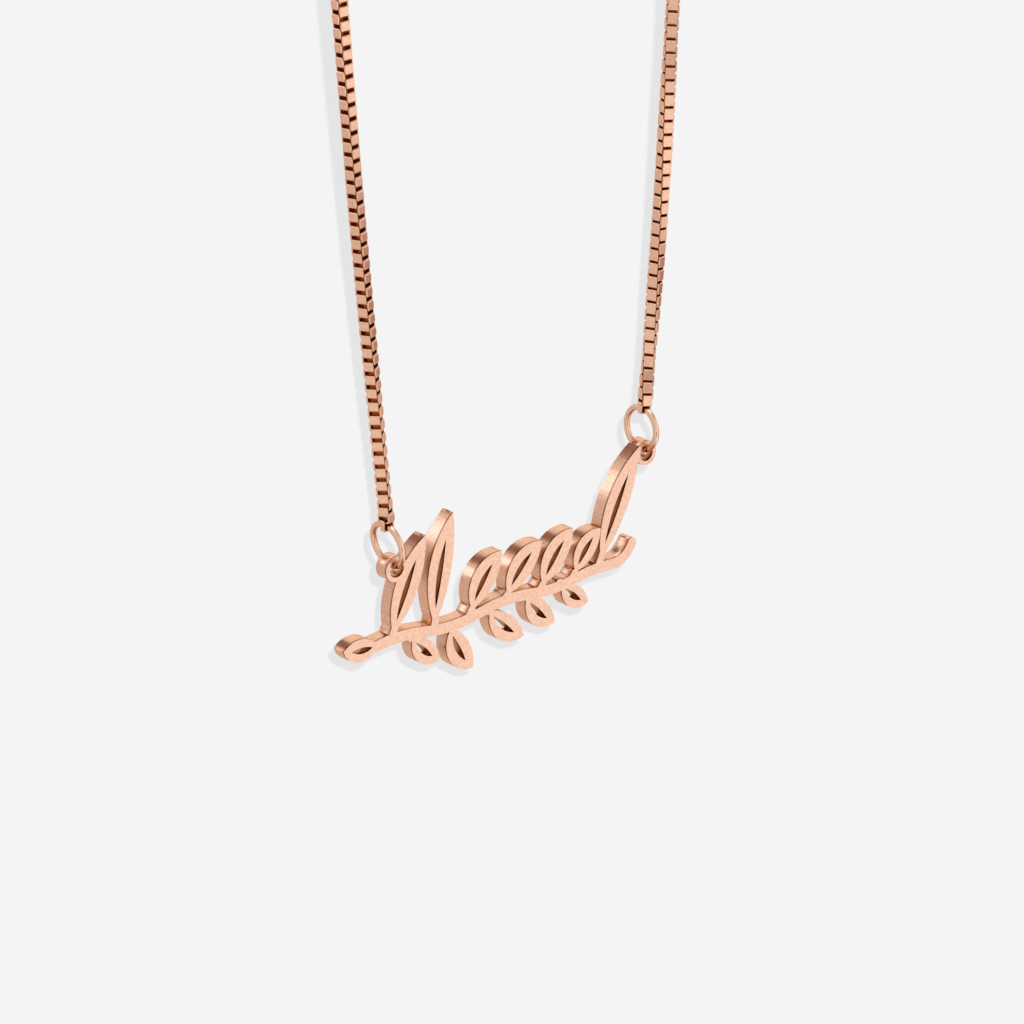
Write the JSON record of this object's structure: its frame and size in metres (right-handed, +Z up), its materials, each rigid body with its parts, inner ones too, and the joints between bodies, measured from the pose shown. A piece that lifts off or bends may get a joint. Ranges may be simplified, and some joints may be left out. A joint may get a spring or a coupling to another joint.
{
  "type": "nameplate necklace",
  "caption": "Box-chain necklace with a flat pierced leafy-sprig plate hung by a lug and jump ring at each end, and a plain ring clasp at the back of the neck.",
  "frame": {"origin": "lowest point of the clasp, where the necklace rests on the nape of the neck", "axes": "+Z up, from the plate to the clasp; -Y out of the plate's front; +X to the wearer's left, the plate's right as seen from the front"},
  "size_m": [0.0516, 0.005, 0.2124],
  "materials": {
    "plate_metal": "rose gold plated steel, satin",
    "ring_wire": "rose gold plated steel, polished",
    "chain_metal": "rose gold plated steel, polished"
  },
  "bodies": {
    "chain": {"left_chain": "chain_metal", "right_chain": "chain_metal", "left_jump_ring": "ring_wire", "right_jump_ring": "ring_wire", "clasp": "ring_wire", "clasp_ring": "ring_wire"},
    "plate": {"nameplate": "plate_metal"}
  },
  "joints": [
    {"name": "nameplate_swing", "type": "hinge", "parent": "chain", "child": "plate", "pos_m": [-0.01516, 0, -0.19068], "axis": [0.9897, 0, 0.1433], "range_deg": [-60, 60]}
  ]
}
